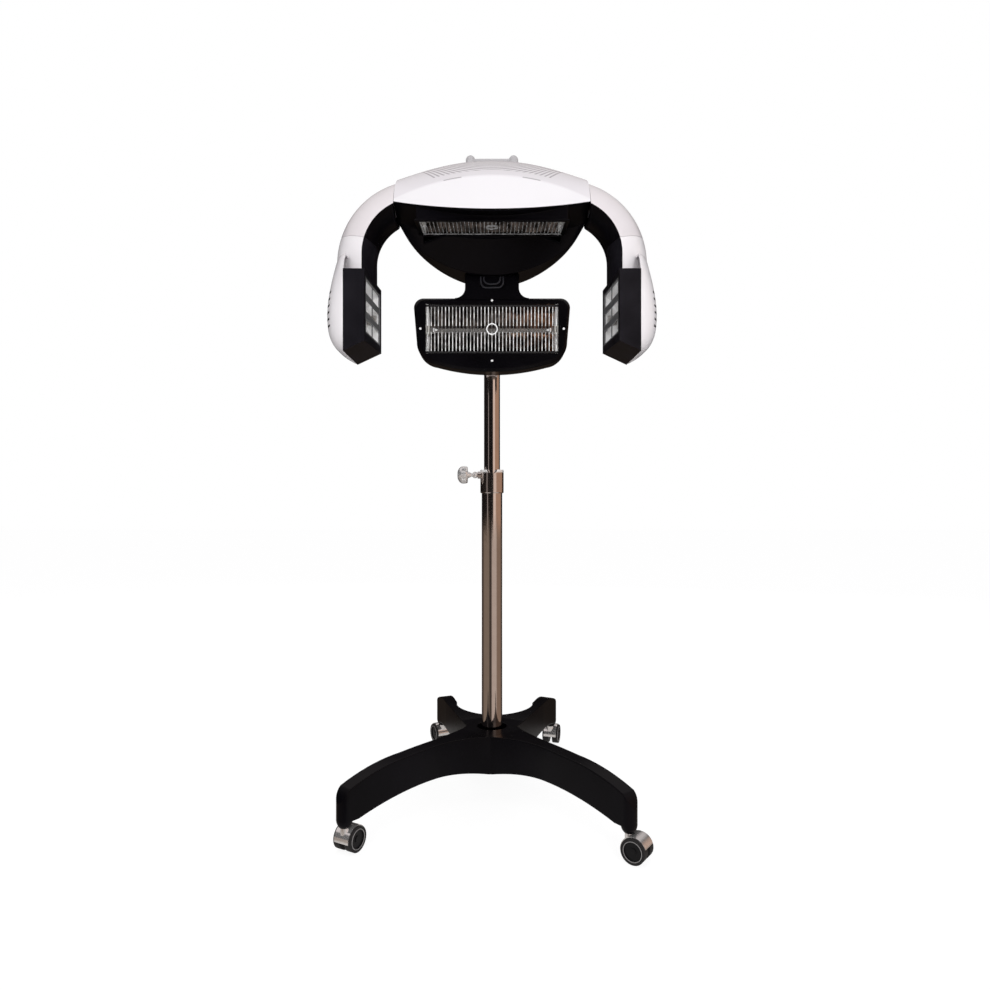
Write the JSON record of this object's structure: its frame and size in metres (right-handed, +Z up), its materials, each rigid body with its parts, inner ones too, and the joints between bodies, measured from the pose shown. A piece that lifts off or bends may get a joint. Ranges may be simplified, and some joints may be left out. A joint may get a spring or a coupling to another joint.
{
  "type": "hair color processor",
  "caption": "Salon hair color processor: infrared hood with side lamps and a back lamp on a height-adjustable chrome column with a castor base.",
  "frame": {"origin": "column axis at floor level", "axes": "+Z up; -Y is the front, where the client sits; +X is to the right of someone facing the lamps"},
  "size_m": [0.6406, 0.6901, 1.379],
  "materials": {
    "black_moulding": "black moulded plastic, satin to gloss",
    "white_moulding": "white moulded plastic, smooth",
    "plated_steel": "zinc plated",
    "chrome": "bright chrome plate",
    "black_plastic": "fine matt grain",
    "grey_plastic": "light grey, satin",
    "grey_rubber": "soft grey tread",
    "polished_reflector": "polished aluminium sheet",
    "quartz_glass": "clear quartz",
    "ceramic": "unglazed steatite",
    "dark_steel": "dark grey paint"
  },
  "bodies": {
    "base": {"base_moulding": "black_moulding", "castor_sockets": "plated_steel", "column_bolt": "plated_steel", "lower_tube": "chrome", "clamp_collar": "chrome", "glide_bush": "black_plastic"},
    "clamp_screw": {"thumb_screw": "chrome"},
    "mast": {"mast_tube": "chrome", "mast_foot": "black_plastic"},
    "back_unit": {"back_housing": "black_moulding", "panel_screws": "chrome", "rear_cover": "white_moulding", "mast_socket": "plated_steel", "back_reflector": "polished_reflector", "back_infrared_tube": "quartz_glass", "back_tube_holders": "ceramic", "back_wire_guard": "chrome", "tilt_pin": "plated_steel", "control_panel": "black_plastic", "mains_inlet": "black_plastic"},
    "timer": {"timer_knob": "black_plastic"},
    "power_switch": {"power_rocker": "black_plastic"},
    "top_unit": {"top_cover": "white_moulding", "top_shell": "black_moulding", "top_reflector": "polished_reflector", "top_infrared_tube": "quartz_glass", "top_tube_holders": "ceramic", "top_wire_guard": "chrome", "carry_handle": "grey_plastic", "arm_hinge_lugs": "plated_steel"},
    "castor_front_left": {"castor_hood_front_left": "chrome"},
    "wheels_front_left": {"castor_wheels_front_left": "black_plastic", "castor_treads_front_left": "grey_rubber"},
    "castor_front_right": {"castor_hood_front_right": "chrome"},
    "wheels_front_right": {"castor_wheels_front_right": "black_plastic", "castor_treads_front_right": "grey_rubber"},
    "castor_rear_left": {"castor_hood_rear_left": "chrome"},
    "wheels_rear_left": {"castor_wheels_rear_left": "black_plastic", "castor_treads_rear_left": "grey_rubber"},
    "castor_rear_right": {"castor_hood_rear_right": "chrome"},
    "wheels_rear_right": {"castor_wheels_rear_right": "black_plastic", "castor_treads_rear_right": "grey_rubber"},
    "arm_left": {"arm_cover_left": "white_moulding", "arm_liner_left": "black_moulding", "arm_frame_left": "plated_steel"},
    "side_lamp_left": {"side_housing_left": "black_moulding", "side_cover_left": "white_moulding", "side_reflector_left": "polished_reflector", "side_infrared_tube_left": "quartz_glass", "side_louvre_left": "dark_steel", "side_swivel_left": "plated_steel"},
    "arm_right": {"arm_cover_right": "white_moulding", "arm_liner_right": "black_moulding", "arm_frame_right": "plated_steel"},
    "side_lamp_right": {"side_housing_right": "black_moulding", "side_cover_right": "white_moulding", "side_reflector_right": "polished_reflector", "side_infrared_tube_right": "quartz_glass", "side_louvre_right": "dark_steel", "side_swivel_right": "plated_steel"}
  },
  "joints": [
    {"name": "swivel_front_left", "type": "hinge", "parent": "base", "child": "castor_front_left", "pos_m": [-0.26614, -0.28499, 0.06], "axis": [0, 0, 1], "continuous": true},
    {"name": "roll_front_left", "type": "hinge", "parent": "castor_front_left", "child": "wheels_front_left", "pos_m": [-0.25886, -0.27187, 0.023], "axis": [-0.8746, 0.4848, 0], "continuous": true},
    {"name": "swivel_front_right", "type": "hinge", "parent": "base", "child": "castor_front_right", "pos_m": [0.24349, -0.30457, 0.06], "axis": [0, 0, 1], "continuous": true},
    {"name": "roll_front_right", "type": "hinge", "parent": "castor_front_right", "child": "wheels_front_right", "pos_m": [0.25577, -0.31317, 0.023], "axis": [0.5736, 0.8192, 0], "continuous": true},
    {"name": "swivel_rear_left", "type": "hinge", "parent": "base", "child": "castor_rear_left", "pos_m": [-0.12838, 0.30515, 0.06], "axis": [0, 0, 1], "continuous": true},
    {"name": "roll_rear_left", "type": "hinge", "parent": "castor_rear_left", "child": "wheels_rear_left", "pos_m": [-0.13542, 0.3184, 0.023], "axis": [-0.8829, -0.4695, 0], "continuous": true},
    {"name": "swivel_rear_right", "type": "hinge", "parent": "base", "child": "castor_rear_right", "pos_m": [0.15141, 0.2944, 0.06], "axis": [0, 0, 1], "continuous": true},
    {"name": "roll_rear_right", "type": "hinge", "parent": "castor_rear_right", "child": "wheels_rear_right", "pos_m": [0.1558, 0.30875, 0.023], "axis": [-0.9563, 0.2924, 0], "continuous": true},
    {"name": "mast_slide", "type": "slide", "parent": "base", "child": "mast", "axis": [0, 0, 1], "range_m": [-0.15, 0.16]},
    {"name": "clamp_turn", "type": "hinge", "parent": "base", "child": "clamp_screw", "pos_m": [-0.054, 0, 0.69], "axis": [-1, 0, 0], "range_deg": [-20, 340]},
    {"name": "back_unit_turn", "type": "hinge", "parent": "mast", "child": "back_unit", "pos_m": [0, 0, 0.99], "axis": [0, 0, 1], "range_deg": [-90, 90]},
    {"name": "timer_turn", "type": "hinge", "parent": "back_unit", "child": "timer", "pos_m": [0.036, 0.05, 0.968], "axis": [0, 1, 0], "range_deg": [0, 300]},
    {"name": "power_rock", "type": "hinge", "parent": "back_unit", "child": "power_switch", "pos_m": [-0.034, 0.0452, 0.968], "axis": [1, 0, 0], "range_deg": [0, 9]},
    {"name": "top_unit_tilt", "type": "hinge", "parent": "back_unit", "child": "top_unit", "pos_m": [0, -0.04, 1.09], "axis": [-1, 0, 0], "range_deg": [-5, 25]},
    {"name": "arm_fold_left", "type": "hinge", "parent": "top_unit", "child": "arm_left", "pos_m": [-0.192, -0.152, 1.246], "axis": [0, 1, 0], "range_deg": [0, 15]},
    {"name": "side_lamp_turn_left", "type": "hinge", "parent": "arm_left", "child": "side_lamp_left", "pos_m": [-0.26108, -0.156, 1.14105], "axis": [-0.2924, 0, -0.9563], "range_deg": [-20, 20]},
    {"name": "arm_fold_right", "type": "hinge", "parent": "top_unit", "child": "arm_right", "pos_m": [0.192, -0.152, 1.246], "axis": [0, -1, 0], "range_deg": [0, 15]},
    {"name": "side_lamp_turn_right", "type": "hinge", "parent": "arm_right", "child": "side_lamp_right", "pos_m": [0.26108, -0.156, 1.14105], "axis": [0.2924, 0, -0.9563], "range_deg": [-20, 20]}
  ]
}
